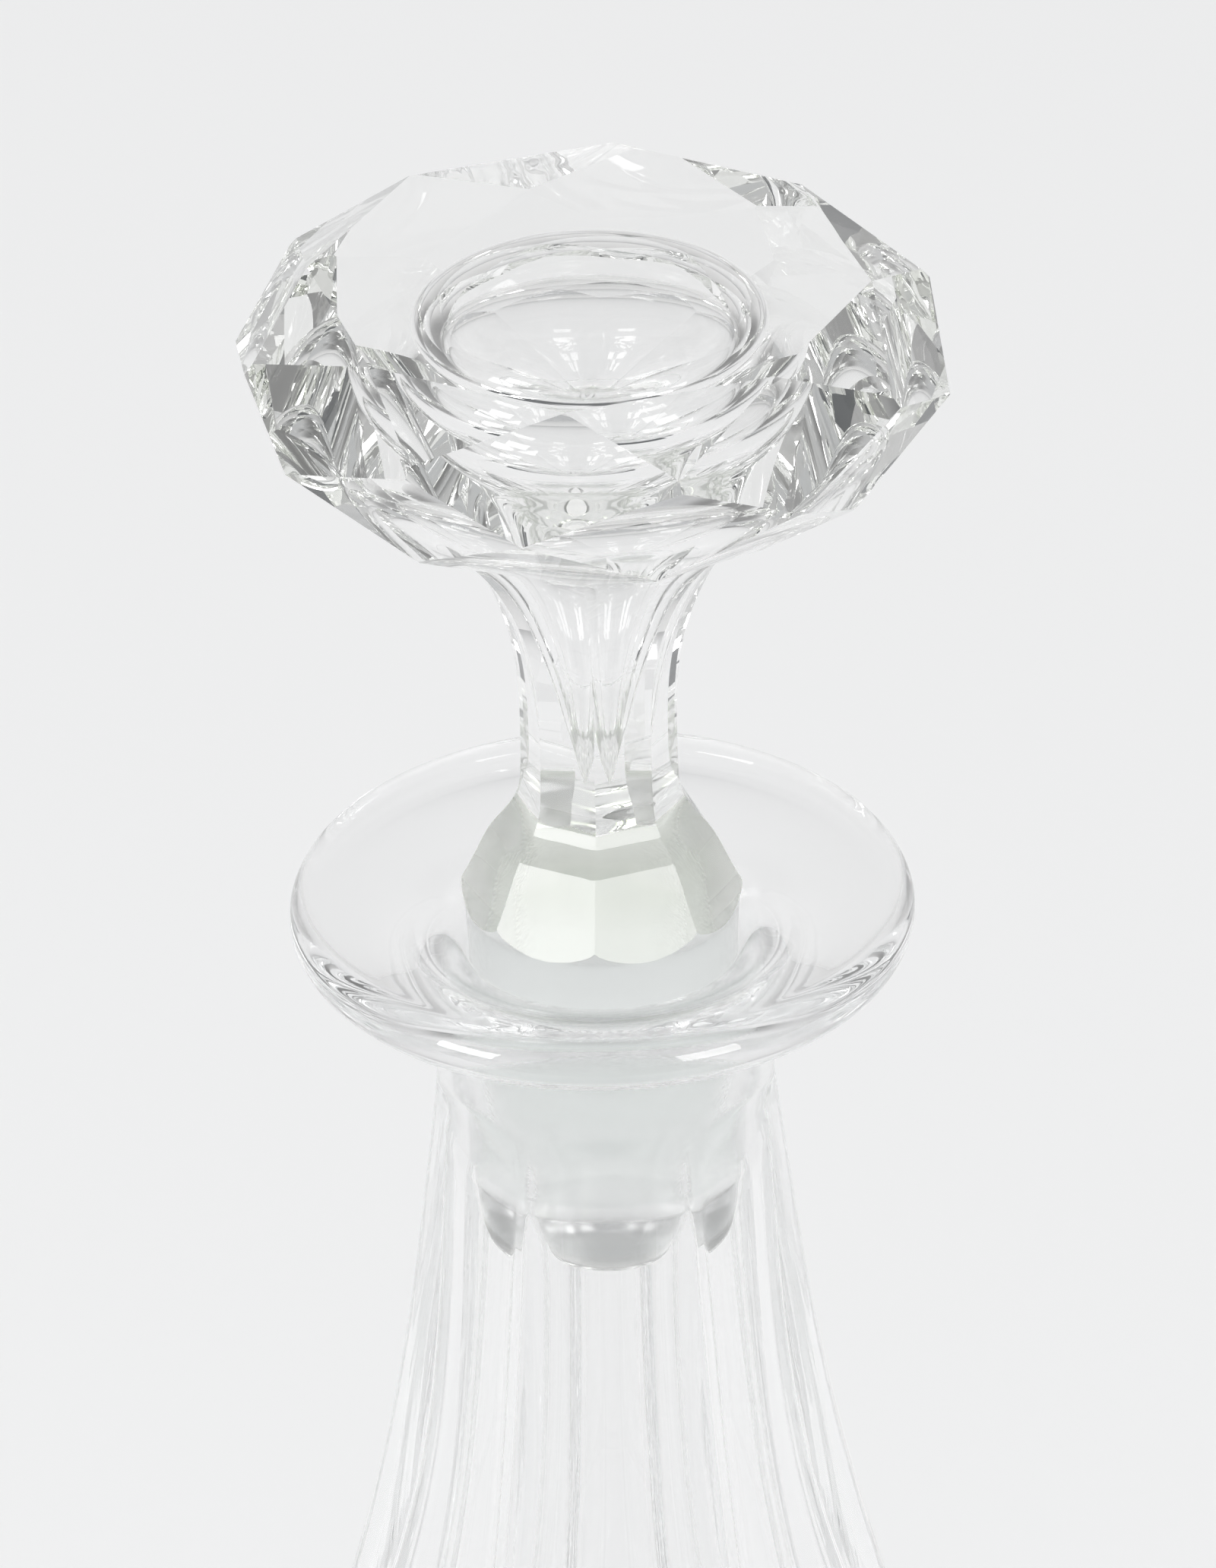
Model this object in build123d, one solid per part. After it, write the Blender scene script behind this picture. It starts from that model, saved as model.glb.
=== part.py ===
from build123d import *
import math
import os

# Panel-cut crystal decanter with a facet-cut mushroom stopper, in millimetres.
# +Z is up and the origin is the centre of the base, on the surface it stands on.
# Depths are measured down from the flat top of the stopper, its table.

# ---- overall ----
OVERALL_HEIGHT = 275.0          # base to the stopper's table
STOPPER_TURN = -3.5             # how far the stopper is turned in the neck, degrees

# ---- stopper: brilliant-cut head ----
HEAD_SIDES = 8
TABLE_RADIUS = 23.1             # to the corners of the octagonal table
KITE_SPREAD = 0.7684            # outward run of a kite facet per mm of depth
CROWN_TIP_DEPTH = 3.95          # lower tip of a crown triangle
WAIST_TIP_DEPTH = 4.75          # upper tip of a waist facet
FOOT_RADIUS = 25.5              # lower corners of the waist facets
FOOT_DEPTH = 14.55
SKIRT_BASE_DEPTH = 14.5         # lower edge of a skirt triangle
THROAT_DEPTH = 22.0             # where the facets end and the shank begins
CROWN_TURN = -1.9               # each row of facets is cut a little off the row above, degrees
KITE_TURN = -5.0
WAIST_TURN = -7.7
SKIRT_TURN = -7.9

# ---- stopper: panel-cut shank and bulb (distance from the axis to the flat, depth) ----
SHANK_SIDES = 8
UNDERSIDE = ((25.5, 14.5), (14.6, 20.2), (8.9, 27.9), (6.6, 35.0), (6.1, 42.5), (6.2, 48.1))
UNDERSIDE_START = (-2.2, 1.0)   # slopes at the two ends, as (outward, down)
UNDERSIDE_END = (0.05, 1.0)
BULB = ((6.2, 48.1), (6.6, 49.9), (8.5, 52.8), (9.9, 55.8), (11.17, 58.6), (11.77, 59.9))
BULB_START = (0.12, 1.0)
BULB_END = (0.46, 1.0)
BULB_RADIUS = 11.95             # round of the bulb below its panels
BULB_ROUND_DEPTH = 58.7         # where that round turns in to the plug

# ---- stopper: ground plug ----
PLUG_TOP_DEPTH = 59.7
PLUG_END_DEPTH = 92.8
PLUG_TOP_RADIUS = 11.7
PLUG_TAPER = 0.05               # radius lost per mm of depth
PLUG_END_ROUND = 3.0

# ---- stopper: sealed trumpet of air blown into the head and shank ----
AIR_RIM_RADIUS = 14.7
AIR_RIM_DEPTH = 11.0
AIR_CROWN_DEPTH = 5.0
AIR_TRUMPET = ((14.7, 11.0), (13.3, 14.2), (10.0, 17.9), (6.7, 23.0), (4.0, 31.5), (1.7, 41.5))
AIR_TRUMPET_START = (0.0, 1.0)
AIR_TRUMPET_END = (-0.22, 1.0)
AIR_TIP_DEPTH = 47.5

# ---- decanter: lip ----
LIP_RADIUS = 26.6
LIP_TOP_DEPTH = 58.6
LIP_ROUND = 2.43                # radius of the rolled rim
MOUTH_RADIUS = 15.0             # where the dished top turns down into the neck
MOUTH_DEPTH = 61.9

# ---- decanter: ground socket and inside ----
SOCKET_CLEARANCE = 0.05
SOCKET_TOP_DEPTH = 65.5
SOCKET_END_DEPTH = 84.0
INSIDE = ((11.0, 86.0), (10.9, 100.0), (13.6, 129.0), (25.5, 165.0), (39.5, 200.0), (47.5, 240.0))
INSIDE_FLOOR_DEPTH = 262.0
INSIDE_FLOOR_ROUND = 14.0

# ---- decanter: outside (radius of the round blank, depth) ----
NECK_ROOT = (14.35, 71.5)       # where the neck leaves the underside of the lip
OUTSIDE = ((14.35, 73.0), (15.4, 85.5), (18.5, 108.0), (23.1, 129.0), (38.0, 172.0), (53.2, 210.0), (60.0, 249.0))
PANELS = 6
PANEL_DEPTH = 0.883             # flat's distance from the axis, as a share of the blank's radius
PANEL_TOP = (12.9, 77.5)        # where a flat reaches its full depth in the neck
PANEL_RUNOUT_DEPTH = 246.0      # where the flats run out in arches above the round foot
PANEL_START_STEP = 5.0          # how far the cutting wheel's edge slants out above that
BASE_RADIUS = 46.0              # flat ring that it stands on
PUNT_RADIUS = 30.0              # ground and polished hollow under the base
PUNT_HEIGHT = 2.2


def height(depth):
    """Height above the base of a point this far below the stopper's table."""
    return OVERALL_HEIGHT - depth


def place(point):
    """A (radius, depth) pair as a point of the XZ plane."""
    return (point[0], 0, height(point[1]))


def down(slope):
    """An (outward, down) slope as a direction of the XZ plane."""
    return (slope[0], 0, -slope[1])


def smooth(points, start=None, end=None):
    """A smooth curve through (radius, depth) points, with set slopes at its ends."""
    if start is None:
        return Spline(*[place(p) for p in points])
    return Spline(*[place(p) for p in points], tangents=(down(start), down(end)))


def turned(edges):
    """The solid that a closed outline in the XZ plane sweeps round the Z axis."""
    return revolve(make_face(Wire(edges)), axis=Axis.Z, revolution_arc=360)


def wheel_cut(solid, radius, depth, run, azimuth):
    """Grind one flat facet that passes (radius, depth) and runs outward by run per mm of depth.

    The azimuth is measured from the front, -Y, towards +X.
    """
    angle = math.radians(azimuth)
    outward = Vector(math.sin(angle), -math.cos(angle), 0)
    normal = (outward + Vector(0, 0, run)).normalized()
    facet = Plane(origin=outward * radius + Vector(0, 0, height(depth)), z_dir=normal)
    return split(solid, bisect_by=facet, keep=Keep.BOTTOM)


def panel_pair(outline, azimuth, reach):
    """The slab between two opposite flats whose side profile is the outline, at one azimuth."""
    slab = extrude(make_face(outline), amount=reach, dir=(0, 1, 0), both=True)
    return slab.rotate(Axis.Z, azimuth)


def mirrored_outline(edges, top, bottom):
    """Close a right-hand side profile with its mirror image about the Z axis."""
    left = [edge.mirror(Plane.YZ) for edge in edges]
    lid = Line(place((top[0], top[1])), place((-top[0], top[1])))
    sole = Line(place((bottom[0], bottom[1])), place((-bottom[0], bottom[1])))
    return Wire(edges + left + [lid, sole])


def plug_radius(depth):
    """Radius of the ground plug at a depth below the table."""
    return PLUG_TOP_RADIUS - PLUG_TAPER * (depth - PLUG_TOP_DEPTH)


def stopper_blank():
    """The round blown blank that the stopper is cut from."""
    head = 33.0         # wider than any facet of the head
    shoulder = 42.0     # in the shank, inside the flutes
    end = plug_radius(PLUG_END_DEPTH)
    corner = PLUG_END_DEPTH - PLUG_END_ROUND
    edges = [
        Line(place((0, 0)), place((head, 0))),
        Line(place((head, 0)), place((head, shoulder))),
        Line(place((head, shoulder)), place((BULB_RADIUS, shoulder))),
        Line(place((BULB_RADIUS, shoulder)), place((BULB_RADIUS, BULB_ROUND_DEPTH))),
        Line(place((BULB_RADIUS, BULB_ROUND_DEPTH)), place((PLUG_TOP_RADIUS, PLUG_TOP_DEPTH))),
        Line(place((PLUG_TOP_RADIUS, PLUG_TOP_DEPTH)), place((plug_radius(corner), corner))),
        TangentArc(
            place((plug_radius(corner), corner)),
            place((end - PLUG_END_ROUND, PLUG_END_DEPTH)),
            tangent=down((-PLUG_TAPER, 1)),
        ),
        Line(place((end - PLUG_END_ROUND, PLUG_END_DEPTH)), place((0, PLUG_END_DEPTH))),
        Line(place((0, PLUG_END_DEPTH)), place((0, 0))),
    ]
    return turned(edges)


def stopper_panels():
    """The eight flutes of the underside, shank and bulb, as four crossed slabs."""
    wide = 40.0                 # past the blank on every side
    above = -5.0
    below = PLUG_END_DEPTH + 5
    underside = smooth(UNDERSIDE, UNDERSIDE_START, UNDERSIDE_END)
    bulb = smooth(BULB, BULB_START, BULB_END)
    edges = [
        Line(place((wide, above)), place((wide, UNDERSIDE[0][1]))),
        Line(place((wide, UNDERSIDE[0][1])), place(UNDERSIDE[0])),
        underside,
        bulb,
        Line(place(BULB[-1]), place((BULB[-1][0], below))),
    ]
    outline = mirrored_outline(edges, (wide, above), (BULB[-1][0], below))
    step = 360 / SHANK_SIDES
    return [panel_pair(outline, STOPPER_TURN + (k + 0.5) * step, wide) for k in range(SHANK_SIDES // 2)]


def air_trumpet():
    """The sealed cavity: a half ellipsoid, a rounded rim and a trumpet that tapers to a point."""
    # A cubic with handles of this share of each half axis is a quarter of an ellipse.
    quarter = 4 / 3 * (math.sqrt(2) - 1)
    rise = AIR_RIM_DEPTH - AIR_CROWN_DEPTH
    dome = Bezier(
        place((0, AIR_CROWN_DEPTH)),
        place((AIR_RIM_RADIUS * quarter, AIR_CROWN_DEPTH)),
        place((AIR_RIM_RADIUS, AIR_RIM_DEPTH - rise * quarter)),
        place((AIR_RIM_RADIUS, AIR_RIM_DEPTH)),
    )
    wall = smooth(AIR_TRUMPET, AIR_TRUMPET_START, AIR_TRUMPET_END)
    tail = Line(place(AIR_TRUMPET[-1]), place((0, AIR_TIP_DEPTH)))
    axis = Line(place((0, AIR_TIP_DEPTH)), place((0, AIR_CROWN_DEPTH)))
    return turned([dome, wall, tail, axis])


def make_stopper():
    """Stopper: octagonal brilliant-cut head, panel-cut shank and bulb, ground plug."""
    glass = stopper_blank()
    for slab in stopper_panels():
        glass = glass & slab
    step = 360 / HEAD_SIDES
    half = math.cos(math.radians(step / 2))
    table_flat = TABLE_RADIUS * half
    crown_tip = (TABLE_RADIUS + KITE_SPREAD * CROWN_TIP_DEPTH) / half
    waist_tip = (TABLE_RADIUS + KITE_SPREAD * WAIST_TIP_DEPTH) / half
    crown_run = (crown_tip - table_flat) / CROWN_TIP_DEPTH
    waist_run = (FOOT_RADIUS - waist_tip) / (FOOT_DEPTH - WAIST_TIP_DEPTH)
    # The girdle corner is where two waist facets and a kite facet meet.
    waist_corner = (waist_tip - waist_run * WAIST_TIP_DEPTH) / half
    girdle_depth = (waist_corner - TABLE_RADIUS) / (KITE_SPREAD - waist_run / half)
    girdle_radius = TABLE_RADIUS + KITE_SPREAD * girdle_depth
    skirt_flat = FOOT_RADIUS * half
    skirt_run = (skirt_flat - girdle_radius) / (SKIRT_BASE_DEPTH - girdle_depth)
    print("girdle radius", round(girdle_radius, 2), "at depth", round(girdle_depth, 2))
    # The facets are cut on the head alone, above a level where the shank is well inside them.
    throat = Plane(origin=(0, 0, height(THROAT_DEPTH)))
    head = split(glass, bisect_by=throat, keep=Keep.TOP)
    shank = split(glass, bisect_by=throat, keep=Keep.BOTTOM)
    for k in range(HEAD_SIDES):
        corner = STOPPER_TURN + k * step
        side = corner + step / 2
        head = wheel_cut(head, table_flat, 0, crown_run, side + CROWN_TURN)
        head = wheel_cut(head, TABLE_RADIUS, 0, KITE_SPREAD, corner + KITE_TURN)
        head = wheel_cut(head, waist_tip, WAIST_TIP_DEPTH, waist_run, side + WAIST_TURN)
        head = wheel_cut(head, girdle_radius, girdle_depth, skirt_run, corner + SKIRT_TURN)
    return head + shank - air_trumpet()


def lip_and_inside():
    """The rolled rim, dished mouth, ground socket and inside wall, from the neck root to the floor."""
    rim_centre = LIP_RADIUS - LIP_ROUND
    rim_depth = LIP_TOP_DEPTH + LIP_ROUND
    socket_top = plug_radius(SOCKET_TOP_DEPTH) + SOCKET_CLEARANCE
    socket_end = plug_radius(SOCKET_END_DEPTH) + SOCKET_CLEARANCE
    floor_edge = INSIDE[-1][0] - INSIDE_FLOOR_ROUND
    underside = Spline(
        place(NECK_ROOT),
        place((rim_centre, rim_depth + LIP_ROUND)),
        tangents=((0, 0, 1), (1, 0, 0)),
    )
    rim = ThreePointArc(
        place((rim_centre, rim_depth + LIP_ROUND)),
        place((LIP_RADIUS, rim_depth)),
        place((rim_centre, LIP_TOP_DEPTH)),
    )
    dish = Spline(
        place((rim_centre, LIP_TOP_DEPTH)),
        place((MOUTH_RADIUS, MOUTH_DEPTH)),
        place((socket_top, SOCKET_TOP_DEPTH)),
        tangents=((-1, 0, 0), (-PLUG_TAPER, 0, -1)),
    )
    socket = Line(place((socket_top, SOCKET_TOP_DEPTH)), place((socket_end, SOCKET_END_DEPTH)))
    relief = Line(place((socket_end, SOCKET_END_DEPTH)), place(INSIDE[0]))
    wall = smooth(INSIDE, (0, 1), (0, 1))
    floor_round = Spline(
        place(INSIDE[-1]),
        place((floor_edge, INSIDE_FLOOR_DEPTH)),
        tangents=((0, 0, -1), (-1, 0, 0)),
    )
    floor = Line(place((floor_edge, INSIDE_FLOOR_DEPTH)), place((0, INSIDE_FLOOR_DEPTH)))
    return [underside, rim, dish, socket, relief, wall, floor_round, floor]


def base_and_outside():
    """The hollow under the base, the flat ring, the heel and the outside wall up to the neck root."""
    punt_top = OVERALL_HEIGHT - PUNT_HEIGHT
    centre = Line(place((0, INSIDE_FLOOR_DEPTH)), place((0, punt_top)))
    punt = Spline(
        place((0, punt_top)),
        place((PUNT_RADIUS, OVERALL_HEIGHT)),
        tangents=((1, 0, 0), (1, 0, -0.15)),
    )
    ring = Line(place((PUNT_RADIUS, OVERALL_HEIGHT)), place((BASE_RADIUS, OVERALL_HEIGHT)))
    heel = Spline(
        place((BASE_RADIUS, OVERALL_HEIGHT)),
        place(OUTSIDE[-1]),
        tangents=((1, 0, 0), (0, 0, 1)),
    )
    wall = smooth(OUTSIDE, (0, 1), (0, 1))
    neck = Line(place(OUTSIDE[0]), place(NECK_ROOT))
    return [centre, punt, ring, heel, wall, neck]


def decanter_panels():
    """The six long flats from under the lip to the foot, as three crossed slabs."""
    wide = 90.0                 # past the blank on every side
    over = LIP_TOP_DEPTH - PANEL_START_STEP
    under = OVERALL_HEIGHT + PANEL_START_STEP
    flats = [PANEL_TOP] + [(PANEL_DEPTH * radius, depth) for radius, depth in OUTSIDE[1:]]
    slant = (flats[0][0] + PANEL_START_STEP, flats[0][1] - PANEL_START_STEP)
    runout = flats[-1][0] + (OVERALL_HEIGHT - PANEL_RUNOUT_DEPTH)
    edges = [
        Line(place((wide, over)), place((wide, slant[1]))),
        Line(place((wide, slant[1])), place(slant)),
        Line(place(slant), place(flats[0])),
        smooth(flats, (0, 1), (0.3, 1)),
        Line(place(flats[-1]), place((runout, under))),
    ]
    outline = mirrored_outline(edges, (wide, over), (runout, under))
    step = 360 / PANELS
    return [panel_pair(outline, k * step + 90, wide) for k in range(PANELS // 2)]


def make_decanter():
    """Decanter: one piece of glass, rolled lip, six-panel neck and body, hollow inside."""
    glass = turned(lip_and_inside() + base_and_outside())
    for slab in decanter_panels():
        glass = glass & slab
    return glass


os.makedirs("parts", exist_ok=True)
export_step(make_decanter(), "parts/decanter_body.step")
export_step(make_stopper(), "parts/stopper.step")
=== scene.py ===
"""Looks of a cut crystal decanter: one blown and panel-cut body, one facet-cut stopper.

Every size is in millimetres until it is put into a mesh. Depths are measured down from the stopper's
table, the flat top of its head, as a cutter measures from the top of the work. Azimuths are measured
from the front, -Y, towards +X.
"""

import logging
import math
from dataclasses import dataclass
from enum import Enum

import bmesh
import bpy
import numpy as np
from mathutils import Matrix, Vector


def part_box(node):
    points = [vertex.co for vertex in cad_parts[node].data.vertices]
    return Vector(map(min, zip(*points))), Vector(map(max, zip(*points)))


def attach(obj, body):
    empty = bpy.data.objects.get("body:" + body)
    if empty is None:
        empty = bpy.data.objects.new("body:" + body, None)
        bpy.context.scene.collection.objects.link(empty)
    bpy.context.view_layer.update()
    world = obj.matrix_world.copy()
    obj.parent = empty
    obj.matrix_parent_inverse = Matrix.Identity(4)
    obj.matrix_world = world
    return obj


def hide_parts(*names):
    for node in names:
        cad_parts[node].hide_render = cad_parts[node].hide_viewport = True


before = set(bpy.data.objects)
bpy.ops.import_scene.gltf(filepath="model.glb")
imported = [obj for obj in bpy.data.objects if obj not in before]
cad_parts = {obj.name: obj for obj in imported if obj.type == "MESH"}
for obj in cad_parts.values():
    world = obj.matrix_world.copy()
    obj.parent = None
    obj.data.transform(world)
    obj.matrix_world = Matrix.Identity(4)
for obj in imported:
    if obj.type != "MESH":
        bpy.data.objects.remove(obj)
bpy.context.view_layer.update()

MM = 0.001
log = logging.getLogger("decanter")


# ---------------------------------------------------------------- shapes

def table_height() -> float:
    """Height of the stopper's table above the floor, from the frame.

    Returns:
        The height in millimetres.
    """
    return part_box("stopper")[1][2] / MM


def smooth_curve(points: list[tuple[float, float]], start: tuple[float, float],
                 end: tuple[float, float], count: int) -> np.ndarray:
    """A C2 cubic through the points, clamped to the end slopes.

    The curve is parametrised by chord length. Its slopes m solve, at each inner point,
    m[i-1] / h[i-1] + 2 m[i] (1 / h[i-1] + 1 / h[i]) + m[i+1] / h[i] = 3 (d[i-1] / h[i-1] + d[i] / h[i]),
    where h is a chord and d its mean slope, and each span is then a Hermite cubic.

    Args:
        points: (radius, depth) pairs.
        start: (outward, down) direction at the first point.
        end: (outward, down) direction at the last point.
        count: how many points to return.

    Returns:
        A (count, 2) array of radius and depth.
    """
    p = np.asarray(points, float)
    h = np.linalg.norm(np.diff(p, axis=0), axis=1)
    d = np.diff(p, axis=0) / h[:, None]
    n = len(p)
    system = np.eye(n)
    right = np.zeros((n, 2))
    right[0] = np.asarray(start, float) / np.linalg.norm(start)
    right[-1] = np.asarray(end, float) / np.linalg.norm(end)
    inner = np.arange(1, n - 1)
    system[inner, inner - 1] = 1 / h[:-1]
    system[inner, inner] = 2 * (1 / h[:-1] + 1 / h[1:])
    system[inner, inner + 1] = 1 / h[1:]
    right[inner] = 3 * (d[:-1] / h[:-1, None] + d[1:] / h[1:, None])
    m = np.linalg.solve(system, right)
    t = np.concatenate([[0], np.cumsum(h)])
    s = np.linspace(0, t[-1], count)
    i = np.clip(np.searchsorted(t, s, side="right") - 1, 0, n - 2)
    u = ((s - t[i]) / h[i])[:, None]
    w = h[i][:, None]
    return ((2 * u**3 - 3 * u**2 + 1) * p[i] + (u**3 - 2 * u**2 + u) * w * m[i]
            + (3 * u**2 - 2 * u**3) * p[i + 1] + (u**3 - u**2) * w * m[i + 1])


def arc(centre: tuple[float, float], radius: float, first: float, last: float, count: int) -> np.ndarray:
    """Points of a circle: centre plus radius times (cos, sin) of an angle from first to last, in degrees.

    Args:
        centre: (radius, depth) of the centre.
        radius: radius of the arc.
        first: angle of the first point; 0 is outward and 90 is down.
        last: angle of the last point.
        count: how many points to return.

    Returns:
        A (count, 2) array of radius and depth.
    """
    a = np.radians(np.linspace(first, last, count))
    return np.stack([centre[0] + radius * np.cos(a), centre[1] + radius * np.sin(a)], axis=1)


def ring_points(radius: np.ndarray, depth: np.ndarray, azimuth: np.ndarray, top: float) -> np.ndarray:
    """Grid points in metres: x = r sin(az), y = -r cos(az), z = top - depth.

    Args:
        radius: distance from the axis, mm.
        depth: depth below the table, mm.
        azimuth: degrees from the front.
        top: height of the table, mm.

    Returns:
        The points, with one more axis of length 3 than the inputs have together.
    """
    a = np.radians(azimuth)
    r, h, a = np.broadcast_arrays(radius, depth, a)
    return np.stack([r * np.sin(a), -r * np.cos(a), top - h], axis=-1) * MM


def wrap_faces(rows: int, columns: int) -> np.ndarray:
    """Quads of a grid of rows by columns that closes on itself in azimuth, facing away from the axis
    when the rows run downward.

    Args:
        rows: number of rings.
        columns: points in each ring.

    Returns:
        A (faces, 4) array of vertex numbers.
    """
    i = np.arange(rows - 1)[:, None] * columns
    j = np.arange(columns)[None, :]
    k = (j + 1) % columns
    return np.stack([i + j, i + columns + j, i + columns + k, i + k], axis=-1).reshape(-1, 4)


def closed_grid(points: np.ndarray, first_pole: bool, last_pole: bool) -> tuple[np.ndarray, list]:
    """Vertices and faces of rings of points, with a fan of triangles to a pole at each end asked for.

    A pole is the mean of the ring next to it.

    Args:
        points: (rows, columns, 3) array.
        first_pole: close the first ring.
        last_pole: close the last ring.

    Returns:
        The vertices and the faces.
    """
    rows, columns, _ = points.shape
    verts = points.reshape(-1, 3)
    faces = wrap_faces(rows, columns).tolist()
    j = np.arange(columns)
    k = (j + 1) % columns
    if first_pole:
        pole = np.full(columns, len(verts))
        verts = np.vstack([verts, points[0].mean(axis=0)])
        faces += np.stack([pole, j, k], axis=1).tolist()
    if last_pole:
        pole = np.full(columns, len(verts))
        base = (rows - 1) * columns
        verts = np.vstack([verts, points[-1].mean(axis=0)])
        faces += np.stack([base + j, pole, base + k], axis=1).tolist()
    return verts, faces


def new_mesh(name: str, verts: np.ndarray, faces: list) -> bpy.types.Mesh:
    """A mesh from arrays.

    Args:
        name: the mesh's name.
        verts: (n, 3) array in metres.
        faces: lists of vertex numbers.

    Returns:
        The mesh.
    """
    mesh = bpy.data.meshes.new(name)
    mesh.from_pydata(verts, [], faces)
    mesh.update()
    return mesh


def shade(mesh: bpy.types.Mesh, sharp_degrees: float) -> None:
    """Shade smooth, apart from edges that turn by more than an angle.

    Args:
        mesh: the mesh to shade.
        sharp_degrees: an edge that turns by more than this stays crisp.
    """
    mesh.shade_smooth()
    mesh.set_sharp_from_angle(angle=math.radians(sharp_degrees))


# ---------------------------------------------------------------- the stopper

@dataclass
class Stopper:
    """The stopper: octagonal facet-cut head, eight-panel shank and bulb, ground plug, sealed air trumpet."""

    sides: int = 8
    turn: float = -3.5
    table_radius: float = 23.1
    kite_spread: float = 0.7684
    crown_tip_depth: float = 3.95
    waist_tip_depth: float = 4.75
    foot_radius: float = 25.5
    foot_depth: float = 14.55
    skirt_base_depth: float = 14.5
    throat_depth: float = 22.0
    crown_turn: float = -1.9
    kite_turn: float = -5.0
    waist_turn: float = -7.7
    skirt_turn: float = -7.9
    bulb_radius: float = 11.95
    bulb_round_depth: float = 58.7
    plug_top_depth: float = 59.7
    plug_end_depth: float = 92.8
    plug_top_radius: float = 11.7
    plug_taper: float = 0.05
    plug_end_round: float = 3.0
    air_rim_radius: float = 14.7
    air_rim_depth: float = 11.0
    air_crown_depth: float = 5.0
    air_tip_depth: float = 47.5
    columns_per_panel: int = 24

    def azimuths(self) -> np.ndarray:
        """Azimuth of each grid column, with a column on every ridge between panels."""
        count = self.sides * self.columns_per_panel
        return self.turn + np.arange(count) * 360 / count

    def off_panel(self) -> np.ndarray:
        """Angle of each column from the middle of its panel, in degrees."""
        step = 360 / self.sides
        return (self.azimuths() - self.turn) % step - step / 2

    def flute(self) -> np.ndarray:
        """Side profile of a flat: distance from the axis, depth, from the underside to the bulb."""
        under = smooth_curve([(25.5, 14.5), (14.6, 20.2), (8.9, 27.9), (6.6, 35.0), (6.1, 42.5), (6.2, 48.1)],
                             (-2.2, 1.0), (0.05, 1.0), 120)
        bulb = smooth_curve([(6.2, 48.1), (6.6, 49.9), (8.5, 52.8), (9.9, 55.8), (11.17, 58.6), (11.77, 59.9)],
                            (0.12, 1.0), (0.46, 1.0), 60)
        return np.vstack([under, bulb[1:]])

    def plug_radius(self, depth: np.ndarray) -> np.ndarray:
        """Radius of the ground plug: its top radius less the taper times the depth below its top."""
        return self.plug_top_radius - self.plug_taper * (depth - self.plug_top_depth)

    def blank_radius(self, depth: np.ndarray) -> np.ndarray:
        """Radius of the round bulb and plug, before the panels are cut."""
        return np.where(depth < self.plug_top_depth,
                        np.interp(depth, [self.bulb_round_depth, self.plug_top_depth],
                                  [self.bulb_radius, self.plug_top_radius]),
                        self.plug_radius(depth))

    def build_head(self) -> tuple[np.ndarray, list]:
        """The head: a rough fluted blank whose 33 facets are ground flat by plane cuts.

        The flutes' radius is the flat's distance over the cosine of the angle from the panel's middle.

        Returns:
            Vertices and faces, open at the throat.
        """
        flute = self.flute()
        cosine = np.cos(np.radians(self.off_panel()))
        reach = 36.0
        inside = flute[flute[:, 1] < self.throat_depth - 0.05]
        throat = np.interp(self.throat_depth, flute[:, 1], flute[:, 0])
        profile = np.vstack([[reach, -2.0], [reach, inside[0, 1]], inside, [throat, self.throat_depth]])
        points = ring_points(profile[:, :1] / cosine, profile[:, 1:], self.azimuths(), table_height())
        verts, faces = closed_grid(points, True, False)
        work = bmesh.new()
        rough = new_mesh("rough_head", verts, faces)
        work.from_mesh(rough)
        bpy.data.meshes.remove(rough)
        for origin, normal in self.facets():
            cut = bmesh.ops.bisect_plane(work, geom=work.verts[:] + work.edges[:] + work.faces[:], dist=1e-7,
                                         plane_co=origin, plane_no=normal, clear_outer=True)
            edges = [e for e in cut["geom_cut"] if isinstance(e, bmesh.types.BMEdge)]
            bmesh.ops.edgeloop_fill(work, edges=edges)
        bmesh.ops.dissolve_degenerate(work, dist=2e-6, edges=work.edges[:])
        mesh = bpy.data.meshes.new("head")
        work.to_mesh(mesh)
        work.free()
        coordinates = np.empty(len(mesh.vertices) * 3)
        mesh.vertices.foreach_get("co", coordinates)
        faces = [list(f.vertices) for f in mesh.polygons]
        bpy.data.meshes.remove(mesh)
        return coordinates.reshape(-1, 3), faces

    def facets(self) -> list[tuple[Vector, Vector]]:
        """Plane of each facet of the head: the table, then crown triangles, kites, waist and skirt facets.

        A facet passes a (radius, depth) point at its own azimuth, and runs outward by a set distance
        for each mm of depth, so its normal is outward plus that run times up.
        """
        step = 360 / self.sides
        half = math.cos(math.radians(step / 2))
        table_flat = self.table_radius * half
        crown_tip = (self.table_radius + self.kite_spread * self.crown_tip_depth) / half
        waist_tip = (self.table_radius + self.kite_spread * self.waist_tip_depth) / half
        crown_run = (crown_tip - table_flat) / self.crown_tip_depth
        waist_run = (self.foot_radius - waist_tip) / (self.foot_depth - self.waist_tip_depth)
        waist_corner = (waist_tip - waist_run * self.waist_tip_depth) / half
        girdle_depth = (waist_corner - self.table_radius) / (self.kite_spread - waist_run / half)
        girdle_radius = self.table_radius + self.kite_spread * girdle_depth
        skirt_run = (self.foot_radius * half - girdle_radius) / (self.skirt_base_depth - girdle_depth)
        top = table_height()
        planes = [(Vector((0, 0, top * MM)), Vector((0, 0, 1)))]
        for k in range(self.sides):
            corner = self.turn + k * step
            side = corner + step / 2
            for azimuth, radius, depth, run in (
                    (side + self.crown_turn, table_flat, 0.0, crown_run),
                    (corner + self.kite_turn, self.table_radius, 0.0, self.kite_spread),
                    (side + self.waist_turn, waist_tip, self.waist_tip_depth, waist_run),
                    (corner + self.skirt_turn, girdle_radius, girdle_depth, skirt_run)):
                a = math.radians(azimuth)
                outward = Vector((math.sin(a), -math.cos(a), 0))
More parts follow.
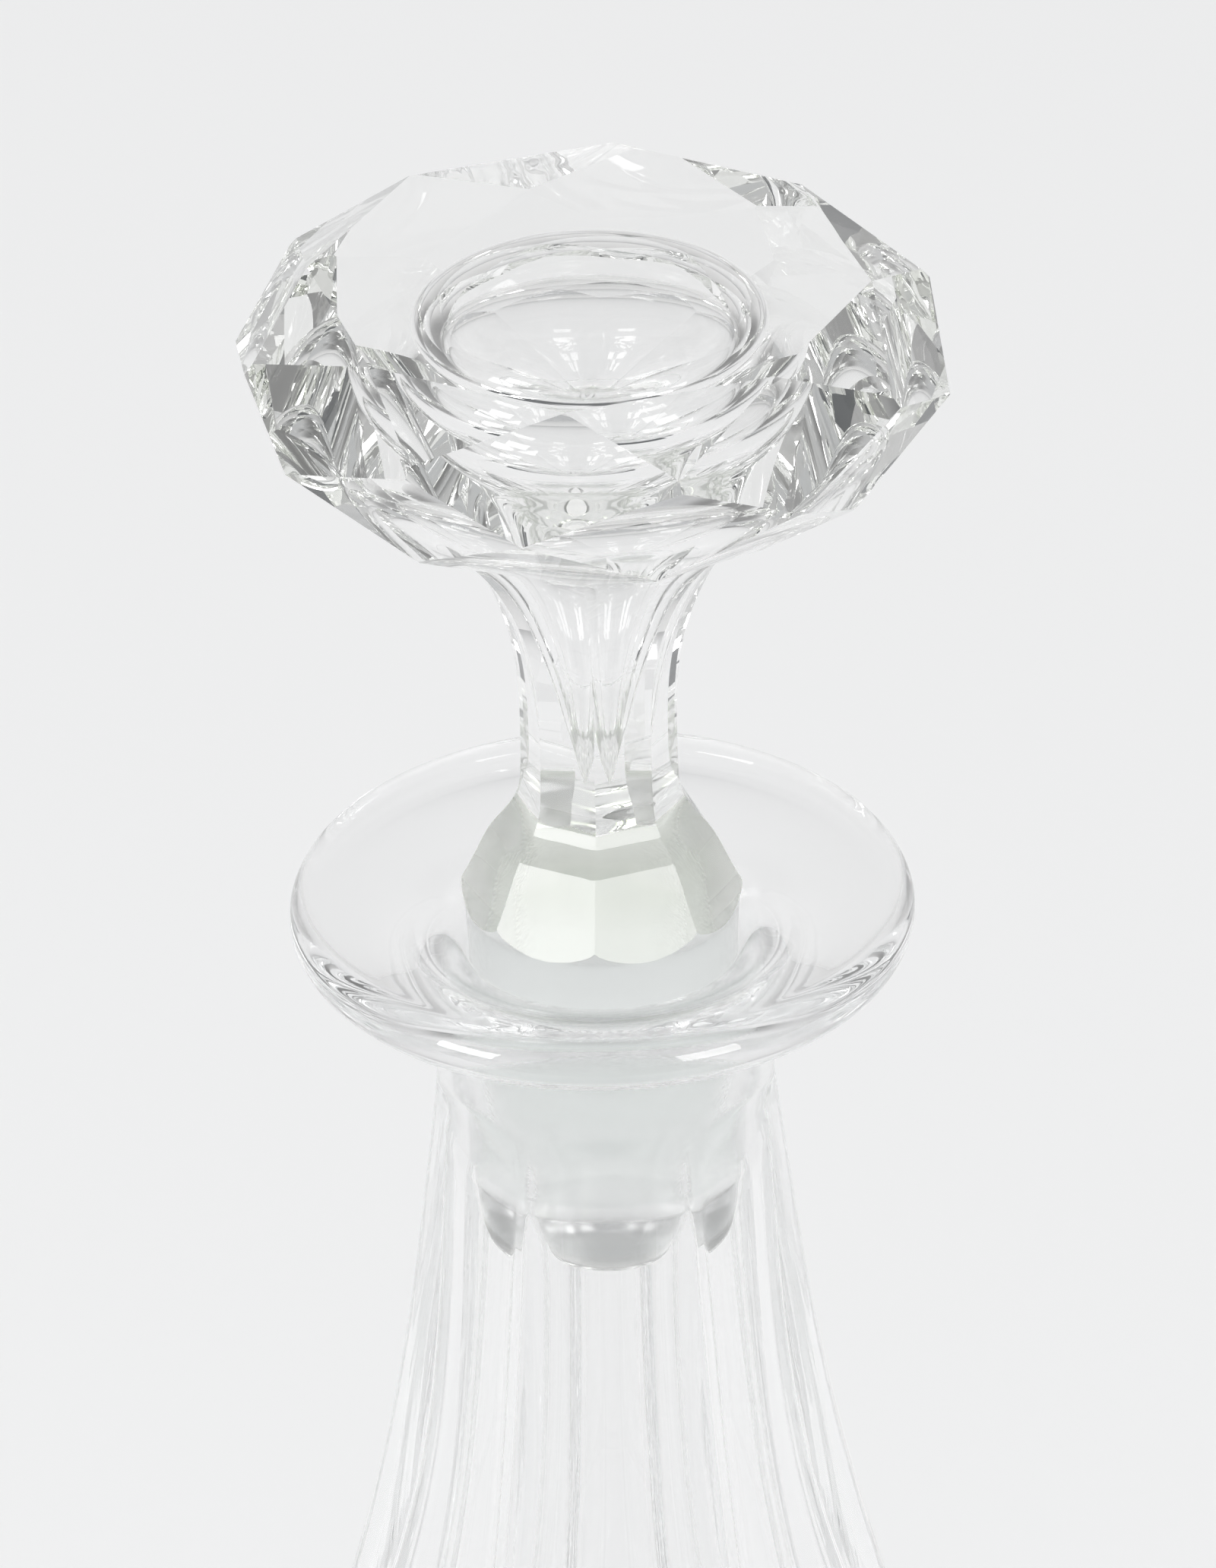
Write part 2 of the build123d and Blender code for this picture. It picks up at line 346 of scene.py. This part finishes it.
                normal = (outward + Vector((0, 0, run))).normalized()
                planes.append((outward * radius * MM + Vector((0, 0, (top - depth) * MM)), normal))
        return planes

    def build_shank(self) -> tuple[np.ndarray, list, np.ndarray]:
        """Shank, bulb and plug below the throat.

        Above the scallops the radius is the flat's distance over the cosine of the angle from the
        panel's middle, and below them it is the round blank's. The depth where the two meet is found
        for each column, so the scalloped edge lies on a ring of the grid.

        Returns:
            Vertices, faces, and for each face whether it is ground matt.
        """
        flute = self.flute()
        cosine = np.cos(np.radians(self.off_panel()))
        fine = np.linspace(51, 59.9, 600)
        over = np.interp(fine, flute[:, 1], flute[:, 0])[:, None] / cosine - self.blank_radius(fine)[:, None]
        crossing = fine[np.argmax(over > 0, axis=0)]
        break_depth = 48.1
        upper = np.linspace(self.throat_depth, break_depth, 70)
        lower = break_depth + (crossing - break_depth) * np.linspace(0, 1, 36)[1:, None]
        panel_depth = np.vstack([np.repeat(upper[:, None], len(cosine), axis=1), lower])
        panel_radius = np.interp(panel_depth, flute[:, 1], flute[:, 0]) / cosine
        corner = self.plug_end_depth - self.plug_end_round
        plug_depth = crossing + (corner - crossing) * np.linspace(0, 1, 60)[1:, None]
        plug_radius = self.blank_radius(plug_depth)
        panel_radius[-1] = self.blank_radius(crossing)
        end_centre = self.plug_radius(corner) - self.plug_end_round
        end = arc((end_centre, corner), self.plug_end_round, 0, 90, 16)[1:]
        flat = np.stack([np.linspace(end_centre, 0.5, 6)[1:], np.full(5, self.plug_end_depth)], axis=1)
        bottom = np.vstack([end, flat])
        depth = np.vstack([panel_depth, plug_depth, np.repeat(bottom[:, 1:], len(cosine), axis=1)])
        radius = np.vstack([panel_radius, plug_radius, np.repeat(bottom[:, :1], len(cosine), axis=1)])
        points = ring_points(radius, depth, self.azimuths(), table_height())
        verts, faces = closed_grid(points, False, True)
        row = np.arange(len(faces)) // len(cosine)
        ground = (row >= len(panel_depth) - 1) & (row < len(panel_depth) - 1 + 59)
        return verts, faces, ground

    def build_air(self) -> tuple[np.ndarray, list]:
        """The sealed air: half an ellipsoid on top, and a trumpet that narrows to a point below.

        The top is depth = rim depth - rise * sqrt(1 - (radius / rim radius)^2). Its faces look into
        the air, away from the glass.
        """
        a = np.sin(np.linspace(0.02, math.pi / 2, 48))
        dome_rise = self.air_rim_depth - self.air_crown_depth
        dome = np.stack([self.air_rim_radius * a, self.air_rim_depth - dome_rise * np.sqrt(1 - a**2)], axis=1)
        wall = smooth_curve([(14.7, 11.0), (13.3, 14.2), (10.0, 17.9), (6.7, 23.0), (4.0, 31.5), (1.7, 41.5)],
                            (0, 1.0), (-0.22, 1.0), 120)
        tail = np.stack([np.linspace(1.7, 0.05, 12)[1:], np.linspace(41.5, self.air_tip_depth, 12)[1:]], axis=1)
        profile = np.vstack([dome, wall[1:], tail])
        azimuth = np.arange(192) * 360 / 192
        points = ring_points(profile[:, :1], profile[:, 1:], azimuth, table_height())
        verts, faces = closed_grid(points, True, True)
        return verts, [f[::-1] for f in faces]

    def build(self) -> bpy.types.Object:
        """Join head, shank and plug at the throat and add the sealed air.

        Returns:
            The stopper's glass as one object.
        """
        head_verts, head_faces = self.build_head()
        shank_verts, shank_faces, ground = self.build_shank()
        verts = np.vstack([head_verts, shank_verts])
        offset = len(head_verts)
        faces = head_faces + [[v + offset for v in f] for f in shank_faces]
        mesh = new_mesh("stopper_glass", verts, faces)
        marks = np.concatenate([np.zeros(len(head_faces), bool), ground]).astype(np.int32)
        mesh.polygons.foreach_set("material_index", marks)
        work = bmesh.new()
        work.from_mesh(mesh)
        bmesh.ops.remove_doubles(work, verts=work.verts[:], dist=5e-7)
        bmesh.ops.recalc_face_normals(work, faces=work.faces[:])
        air_verts, air_faces = self.build_air()
        air = new_mesh("air", air_verts, air_faces)
        work.from_mesh(air)
        bpy.data.meshes.remove(air)
        work.to_mesh(mesh)
        open_edges = sum(1 for e in work.edges if not e.is_manifold)
        log.info("stopper: %d faces, %d open edges", len(work.faces), open_edges)
        work.free()
        shade(mesh, 9.0)
        piece = bpy.data.objects.new("stopper_glass", mesh)
        bpy.context.collection.objects.link(piece)
        return piece


# ---------------------------------------------------------------- the decanter

@dataclass
class Decanter:
    """The body: rolled lip, ground socket, six-panel neck and body, hollow inside."""

    panels: int = 6
    panel_share: float = 0.883
    lip_radius: float = 26.6
    lip_top_depth: float = 58.6
    lip_round: float = 2.43
    mouth_radius: float = 15.0
    mouth_depth: float = 61.9
    socket_clearance: float = 0.05
    socket_top_depth: float = 65.5
    socket_end_depth: float = 84.0
    floor_depth: float = 262.0
    floor_round: float = 14.0
    runout_depth: float = 246.0
    base_radius: float = 46.0
    punt_radius: float = 30.0
    punt_height: float = 2.2
    columns_per_panel: int = 48

    def outside(self, count: int) -> np.ndarray:
        """Radius and depth of the round blank from under the lip to the heel."""
        return smooth_curve([(14.35, 73.0), (15.4, 85.5), (18.5, 108.0), (23.1, 129.0), (38.0, 172.0),
                             (53.2, 210.0), (60.0, 249.0)], (0, 1), (0, 1), count)

    def flats(self) -> np.ndarray:
        """Distance from the axis and depth of a long flat, which runs out at 45 degrees at the foot."""
        share = self.panel_share
        wall = smooth_curve([(12.9, 77.5), (15.4 * share, 85.5), (18.5 * share, 108.0),
                             (23.1 * share, 129.0), (38.0 * share, 172.0), (53.2 * share, 210.0),
                             (60.0 * share, 249.0)], (0, 1), (0.3, 1), 400)
        end = 275.0
        runout = wall[-1, 0] + (end - self.runout_depth)
        return np.vstack([[wall[0, 0] + 5, wall[0, 1] - 5], wall, [runout, end + 5]])

    def azimuths(self) -> np.ndarray:
        """Azimuth of each column: most across the flats, three on each narrow round land between."""
        edge = math.degrees(math.acos(self.panel_share))
        flat = np.linspace(-edge, edge, self.columns_per_panel - 3)
        land = np.linspace(edge, 60 - edge, 5)[1:-1]
        one = np.concatenate([flat, land])
        return (one[None, :] + np.arange(self.panels)[:, None] * 360 / self.panels).ravel()

    def build(self, stopper: Stopper) -> bpy.types.Object:
        """One grid of rings from the middle of the base, up the outside, over the rim and down the inside.

        Outside, the radius is the smaller of the round blank's and the flat's distance over the cosine of
        the angle from the panel's middle; the depth where the flat runs out is found for each column,
        so the arched edge lies on a ring of the grid.
        """
        top = table_height()
        azimuth = self.azimuths()
        step = 360 / self.panels
        off = (azimuth + step / 2) % step - step / 2
        cosine = np.cos(np.radians(off))
        blank = self.outside(400)
        heel = smooth_curve([(60.0, 249.0), (self.base_radius, top)], (0, 1), (-1, 0), 30)
        round_wall = np.vstack([blank, heel[1:]])
        flats = self.flats()
        fine = np.linspace(self.runout_depth - 4, top - 3, 1500)
        gap = (np.interp(fine, flats[:, 1], flats[:, 0])[:, None] / cosine
               - np.interp(fine, round_wall[:, 1], round_wall[:, 0])[:, None])
        low_end = fine[np.argmax(gap > 0, axis=0)]
        edge = math.degrees(math.acos(self.panel_share))
        on_flat = np.abs(off) < edge + 0.01
        low_end = np.where(on_flat, low_end, low_end[np.abs(np.abs(off) - edge) < 0.01].min())
        rim_centre = self.lip_radius - self.lip_round
        rim_depth = self.lip_top_depth + self.lip_round
        under = smooth_curve([(14.35, 71.5), (rim_centre, rim_depth + self.lip_round)], (0, -1), (1, 0), 40)
        neck = np.vstack([under[::-1], [14.35, 72.3], blank])
        fine = np.linspace(73.0, 80.0, 900)
        neck_radius = np.interp(fine, neck[:, 1], neck[:, 0])
        gap = np.interp(fine, flats[:, 1], flats[:, 0])[:, None] / cosine - neck_radius[:, None]
        high_end = fine[len(fine) - 1 - np.argmax(gap[::-1] > 0, axis=0)]
        high_end = np.where(on_flat, high_end, high_end[np.abs(np.abs(off) - edge) < 0.01].max())

        def blank_at(depth: np.ndarray) -> np.ndarray:
            """Radius of the round outside at a depth."""
            whole = np.vstack([neck, heel[1:]])
            return np.interp(depth, whole[:, 1], whole[:, 0])

        def outer(depth: np.ndarray) -> np.ndarray:
            """Radius of the cut outside at a depth, for each column."""
            flat = np.interp(depth, flats[:, 1], flats[:, 0]) / cosine
            return np.minimum(flat, blank_at(depth))

        ones = np.ones(len(azimuth))
        foot_end = heel[-1, 1]
        t = np.linspace(0, 1, 16)[:, None]
        foot = low_end + (foot_end - low_end) * t
        foot_radius = np.where(t > 0, blank_at(foot), outer(foot))
        panel = high_end + (low_end - high_end) * np.linspace(0, 1, 90)[:-1, None]
        lip_under_start = under[-1, 1] + 0.02
        throat = lip_under_start + (high_end - lip_under_start) * (np.linspace(0, 1, 20)[:-1, None] ** 1.6)
        outer_depth = np.vstack([throat, panel, foot])
        outer_radius = np.vstack([blank_at(throat), outer(panel), foot_radius])

        rim = arc((rim_centre, rim_depth), self.lip_round, -90, 90, 24)[:-1]
        socket_top = stopper.plug_radius(self.socket_top_depth) + self.socket_clearance
        socket_end = stopper.plug_radius(self.socket_end_depth) + self.socket_clearance
        dish = smooth_curve([(rim_centre, self.lip_top_depth), (self.mouth_radius, self.mouth_depth),
                             (socket_top, self.socket_top_depth)], (-1, 0), (-0.045, 1), 40)
        socket = np.linspace(dish[-1], [socket_end, self.socket_end_depth], 5)[1:]
        wall = smooth_curve([(11.0, 86.0), (10.9, 100.0), (13.6, 129.0), (25.5, 165.0), (39.5, 200.0),
                             (47.5, 240.0)], (0, 1), (0, 1), 70)
        relief = np.linspace(socket[-1], wall[0], 6)[1:-1]
        floor_edge = 47.5 - self.floor_round
        floor_round = smooth_curve([(47.5, 240.0), (floor_edge, self.floor_depth)], (0, 1), (-1, 0), 12)[1:]
        floor = np.stack([np.linspace(floor_edge, 1.0, 16)[1:], np.full(15, self.floor_depth)], axis=1)
        inside = np.vstack([dish, socket, relief, wall, floor_round, floor])[::-1]

        ring = np.linspace([self.base_radius, top], [self.punt_radius, top], 6)[1:]
        punt = smooth_curve([(self.punt_radius, top), (0.8, top - self.punt_height)], (-1, -0.15), (-1, 0), 8)[1:]
        underneath = np.vstack([ring, punt])
        depth = np.vstack([inside[:, 1:] * ones, rim[1:, 1:] * ones, outer_depth, underneath[:, 1:] * ones])
        radius = np.vstack([inside[:, :1] * ones, rim[1:, :1] * ones, outer_radius, underneath[:, :1] * ones])
        points = ring_points(radius, depth, azimuth, top)
        verts, faces = closed_grid(points, True, True)
        mesh = new_mesh("decanter_glass", verts, faces)
        first = len(floor) + len(floor_round) + len(wall) + len(relief)
        row = np.arange(len(faces)) // len(azimuth)
        ground = (row >= first - 1) & (row < first + len(socket))
        mesh.polygons.foreach_set("material_index", ground.astype(np.int32))
        work = bmesh.new()
        work.from_mesh(mesh)
        bmesh.ops.recalc_face_normals(work, faces=work.faces[:])
        open_edges = sum(1 for e in work.edges if not e.is_manifold)
        log.info("decanter: %d faces, %d open edges, volume %.1f cm3", len(work.faces), open_edges,
                 work.calc_volume() * 1e6)
        work.to_mesh(mesh)
        work.free()
        shade(mesh, 40.0)
        piece = bpy.data.objects.new("decanter_glass", mesh)
        bpy.context.collection.objects.link(piece)
        return piece


# ---------------------------------------------------------------- finishes

def linear(code: str, alpha: float = 1.0) -> tuple[float, float, float, float]:
    """An sRGB hex colour as linear light.

    Args:
        code: six hex digits.
        alpha: opacity.

    Returns:
        Red, green, blue and alpha.
    """
    parts = [int(code.lstrip("#")[i:i + 2], 16) / 255 for i in (0, 2, 4)]
    light = [c / 12.92 if c <= 0.04045 else ((c + 0.055) / 1.055) ** 2.4 for c in parts]
    return (*light, alpha)


def add_node(tree: bpy.types.NodeTree, kind: str, settings: dict, links: dict) -> bpy.types.Node:
    """Add a node, set it, and link its inputs.

    Args:
        tree: the node tree.
        kind: the node's type name.
        settings: attribute names to values; a key that starts with "in:" sets an input socket.
        links: input names to output sockets.

    Returns:
        The node.
    """
    node = tree.nodes.new(kind)
    for key, value in settings.items():
        if key.startswith("in:"):
            socket = key[3:]
            node.inputs[int(socket) if socket.isdigit() else socket].default_value = value
        else:
            setattr(node, key, value)
    for key, socket in links.items():
        tree.links.new(socket, node.inputs[key])
    return node


@dataclass(frozen=True)
class PolishedCrystal:
    """Lead crystal, wheel-cut and polished: clear, bright and heavy, with a trace of grey."""

    name: str = "lead_crystal_polished"
    colour: str = "#FFFFFF"
    ior: float = 1.55
    tint: str = "#F3F4EA"
    density: float = 6.0
    wave_mm: float = 9.0
    wave_depth_mm: float = 0.02

    def build(self) -> bpy.types.Material:
        """The material."""
        material = bpy.data.materials.new(self.name)
        material.use_nodes = True
        tree = material.node_tree
        tree.nodes.clear()
        where = add_node(tree, "ShaderNodeTexCoord", {}, {})
        waves = add_node(tree, "ShaderNodeTexNoise", {
            "in:Scale": 1000.0 / self.wave_mm, "in:Detail": 2.0, "in:Roughness": 0.4}, {"Vector": where.outputs["Object"]})
        skin = add_node(tree, "ShaderNodeBump", {
            "in:Strength": 1.0, "in:Distance": self.wave_depth_mm * MM}, {"Height": waves.outputs["Fac"]})
        glass = add_node(tree, "ShaderNodeBsdfPrincipled", {
            "in:Base Color": linear(self.colour), "in:Roughness": 0.0, "in:IOR": self.ior,
            "in:Transmission Weight": 1.0}, {"Normal": skin.outputs["Normal"]})
        body = add_node(tree, "ShaderNodeVolumeAbsorption", {
            "in:Color": linear(self.tint), "in:Density": self.density}, {})
        add_node(tree, "ShaderNodeOutputMaterial", {}, {"Surface": glass.outputs[0], "Volume": body.outputs[0]})
        return material


@dataclass(frozen=True)
class GroundCrystal:
    """Lead crystal ground matt with fine emery: a grey-white frost that blurs what is behind it."""

    name: str = "lead_crystal_ground"
    colour: str = "#FAFCFB"
    ior: float = 1.55
    roughness: float = 0.2
    grit_mm: float = 0.5

    def build(self) -> bpy.types.Material:
        """The material."""
        material = bpy.data.materials.new(self.name)
        material.use_nodes = True
        tree = material.node_tree
        tree.nodes.clear()
        where = add_node(tree, "ShaderNodeTexCoord", {}, {})
        grit = add_node(tree, "ShaderNodeTexNoise", {
            "in:Scale": 1000.0 / self.grit_mm, "in:Detail": 3.0, "in:Roughness": 0.6}, {"Vector": where.outputs["Object"]})
        matt = add_node(tree, "ShaderNodeMapRange", {
            "in:From Min": 0.3, "in:From Max": 0.7, "in:To Min": self.roughness - 0.04,
            "in:To Max": self.roughness + 0.04}, {"Value": grit.outputs["Fac"]})
        skin = add_node(tree, "ShaderNodeBump", {
            "in:Strength": 1.0, "in:Distance": 0.01 * MM}, {"Height": grit.outputs["Fac"]})
        glass = add_node(tree, "ShaderNodeBsdfPrincipled", {
            "in:Base Color": linear(self.colour), "in:IOR": self.ior, "in:Transmission Weight": 1.0},
            {"Roughness": matt.outputs[0], "Normal": skin.outputs["Normal"]})
        add_node(tree, "ShaderNodeOutputMaterial", {}, {"Surface": glass.outputs[0]})
        return material


# ---------------------------------------------------------------- studio

@dataclass
class Studio:
    """Pale floor, soft light and the camera."""

    distance: float = 744.9
    elevation: float = 28.47
    pan: float = 0.052
    tilt: float = 3.204
    roll: float = 1.25
    focal: float = 209.3

    def camera(self) -> None:
        """A long lens a little above the stopper, looking down at it."""
        top = table_height() * MM
        e = math.radians(self.elevation)
        data = bpy.data.cameras.new("camera")
        data.sensor_width = 36.0
        data.sensor_fit = "AUTO"
        data.lens = self.focal
        data.clip_start = 0.01
        data.clip_end = 100
        camera = bpy.data.objects.new("camera", data)
        right = Vector((1, 0, 0))
        forward = Vector((0, math.cos(e), -math.sin(e)))
        up = right.cross(forward)
        t, p, r = (math.radians(v) for v in (self.tilt, self.pan, self.roll))
        forward, up = forward * math.cos(t) - up * math.sin(t), up * math.cos(t) + forward * math.sin(t)
        forward, right = forward * math.cos(p) + right * math.sin(p), right * math.cos(p) - forward * math.sin(p)
        right, up = right * math.cos(r) - up * math.sin(r), right * math.sin(r) + up * math.cos(r)
        place = Vector((0, -math.cos(e), math.sin(e))) * self.distance * MM + Vector((0, 0, top))
        turn = Matrix((right, up, -forward)).transposed().to_4x4()
        camera.matrix_world = Matrix.Translation(place) @ turn
        bpy.context.collection.objects.link(camera)
        bpy.context.scene.camera = camera

    def floor(self) -> None:
        """A wide pale floor, a shade darker towards the front, behind the camera: painted shade."""
        size = 6.0
        verts = np.array([[-size, -size, 0], [size, -size, 0], [size, size, 0], [-size, size, 0]])
        mesh = new_mesh("floor", verts, [[0, 1, 2, 3]])
        floor = bpy.data.objects.new("floor", mesh)
        bpy.context.collection.objects.link(floor)
        material = bpy.data.materials.new("matt_white_paper")
        material.use_nodes = True
        tree = material.node_tree
        shader = tree.nodes["Principled BSDF"]
        shader.inputs["Roughness"].default_value = 1.0
        shader.inputs["Specular IOR Level"].default_value = 0.0
        where = add_node(tree, "ShaderNodeTexCoord", {}, {})
        split = add_node(tree, "ShaderNodeSeparateXYZ", {}, {"Vector": where.outputs["Object"]})
        # painted shade: the paper's colour falls from 0.92 to 0.90 towards the front, behind the camera
        ramp = add_node(tree, "ShaderNodeMapRange", {
            "interpolation_type": "SMOOTHSTEP", "in:From Min": -0.9, "in:From Max": -0.5,
            "in:To Min": 0.90, "in:To Max": 0.92}, {"Value": split.outputs["Y"]})
        tree.links.new(ramp.outputs[0], shader.inputs["Base Color"])
        mesh.materials.append(material)

    def toward(self, azimuth: float, elevation: float) -> Vector:
        """The direction at an azimuth from the front and an elevation, in degrees."""
        a, e = math.radians(azimuth), math.radians(elevation)
        return Vector((math.sin(a) * math.cos(e), -math.cos(a) * math.cos(e), math.sin(e)))

    def darker_patch(self, tree: bpy.types.NodeTree, direction: bpy.types.NodeSocket, light: bpy.types.NodeSocket,
                     azimuth: float, elevation: float, half_angle: float, value: float) -> bpy.types.NodeSocket:
        """Dim the surroundings softly about one direction, as a darker part of a room does."""
        axis = self.toward(azimuth, elevation)
        close = add_node(tree, "ShaderNodeVectorMath", {"operation": "DOT_PRODUCT", "in:1": tuple(axis)}, {0: direction})
        share = add_node(tree, "ShaderNodeMapRange", {
            "interpolation_type": "SMOOTHSTEP", "in:From Min": math.cos(math.radians(half_angle * 1.4)),
            "in:From Max": math.cos(math.radians(half_angle * 0.5)), "in:To Min": 1.0, "in:To Max": value},
            {"Value": close.outputs["Value"]})
        dim = add_node(tree, "ShaderNodeVectorMath", {"operation": "SCALE"}, {0: light, "Scale": share.outputs[0]})
        return dim.outputs["Vector"]

    def window(self, name: str, azimuth: float, elevation: float, size: tuple[float, float], radiance: float) -> None:
        """A soft box that faces the stopper.

        Args:
            name: the lamp's name.
            azimuth: degrees from the front.
            elevation: degrees above the stopper.
            size: width and height in metres.
            radiance: how bright its face is.
        """
        distance = 3.0
        toward = self.toward(azimuth, elevation)
        lamp = bpy.data.lights.new(name, "AREA")
        lamp.shape = "RECTANGLE"
        lamp.size, lamp.size_y = size
        lamp.energy = radiance * math.pi * size[0] * size[1]
        holder = bpy.data.objects.new(name, lamp)
        centre = Vector((0, 0, table_height() * MM))
        holder.matrix_world = Matrix.Translation(centre + toward * distance) @ toward.to_track_quat("Z", "Y").to_matrix().to_4x4()
        bpy.context.collection.objects.link(holder)

    def fill(self, radiance: float) -> None:
        """A wide overhead soft box that brightens the paper only and stays out of the glass."""
        lamp = bpy.data.lights.new("overhead_fill", "AREA")
        lamp.shape = "DISK"
        lamp.size = 2.0
        lamp.energy = radiance * math.pi * 3.14
        holder = bpy.data.objects.new("overhead_fill", lamp)
        holder.location = (0.0, 0.6, 3.4)
        holder.visible_glossy = False
        holder.visible_transmission = False
        bpy.context.collection.objects.link(holder)

    def card(self, name: str, corners: list[tuple[float, float, float]]) -> None:
        """A dark card that only the glass sees, a painted shade for the darker front of the room: it draws the cut
        edges in grey.

        Args:
            name: the card's name.
            corners: its four corners in metres.
        """
        mesh = new_mesh(name, np.array(corners), [[0, 1, 2, 3]])
        card = bpy.data.objects.new(name, mesh)
        bpy.context.collection.objects.link(card)
        # painted shade: the card's grey stands for the darker front of the room, seen only in the glass
        material = bpy.data.materials.new("painted_shade_card")
        material.use_nodes = True
        shader = material.node_tree.nodes["Principled BSDF"]
        shader.inputs["Base Color"].default_value = linear("#66686B")
        shader.inputs["Roughness"].default_value = 1.0
        mesh.materials.append(material)
        card.visible_camera = False
        card.visible_shadow = False
        card.visible_diffuse = False

    def lights(self) -> None:
        """World and soft boxes."""
        scene = bpy.context.scene
        scene.view_settings.view_transform = "Standard"
        scene.cycles.transmission_bounces = 64
        scene.cycles.max_bounces = 96
        scene.cycles.glossy_bounces = 64
        world = bpy.data.worlds.new("studio")
        scene.world = world
        world.use_nodes = True
        tree = world.node_tree
        tree.nodes.clear()
        where = add_node(tree, "ShaderNodeTexCoord", {}, {})
        split = add_node(tree, "ShaderNodeSeparateXYZ", {}, {"Vector": where.outputs["Generated"]})
        ramp = add_node(tree, "ShaderNodeValToRGB", {}, {"Fac": split.outputs["Z"]})
        stops = ramp.color_ramp.elements
        stops[0].position, stops[0].color = 0.0, (0.76, 0.76, 0.76, 1)
        stops[1].position, stops[1].color = 1.0, (0.50, 0.51, 0.52, 1)
        for place, value in ((0.25, 0.66), (0.55, 0.50)):
            stop = stops.new(place)
            stop.color = (value, value, value, 1)
        light = ramp.outputs["Color"]
        for azimuth, elevation, half_angle, value in (
                (92.0, 18.0, 30.0, 0.36), (-103.0, 14.0, 28.0, 0.45), (-8.0, 2.0, 26.0, 0.45)):
            light = self.darker_patch(tree, where.outputs["Generated"], light, azimuth, elevation, half_angle, value)
        back = add_node(tree, "ShaderNodeBackground", {"in:Strength": 1.0}, {"Color": light})
        add_node(tree, "ShaderNodeOutputWorld", {}, {"Surface": back.outputs[0]})
        # painted shade: a dark sheet in front of the stopper that only the glass sees
        self.card("front_shade_card", [(-0.62, -0.38, 0.005), (0.35, -0.38, 0.005), (0.50, -0.80, 0.30), (-0.90, -0.80, 0.30)])
        self.window("left_window", -49.0, 15.0, (1.1, 1.2), 6.5)
        self.window("right_window", 36.5, 16.0, (1.1, 1.38), 4.5)
        self.fill(4.1)


def main() -> None:
    """Build both pieces, dress them and set the studio."""
    logging.basicConfig(level=logging.INFO, format="%(name)s: %(message)s")
    polished = {"stopper": PolishedCrystal(tint="#F2F4EE", density=4.0).build(),
                "decanter_body": PolishedCrystal("lead_crystal_blown", tint="#F4F6F6", density=2.5).build()}
    ground = GroundCrystal().build()
    stopper = Stopper()
    for piece, node, body, slot in (
            (stopper.build(), "stopper", "stopper", "stopper_crystal"),
            (Decanter().build(stopper), "decanter_body", "decanter", "decanter_crystal")):
        piece.data.materials.append(polished[node])
        piece.data.materials.append(ground)
        piece.visible_shadow = False
        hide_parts(node)
        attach(piece, body)
        log.info("%s rides on %s", piece.name, body)
    studio = Studio()
    studio.floor()
    studio.lights()
    studio.camera()


if __name__ == "__main__":
    main()
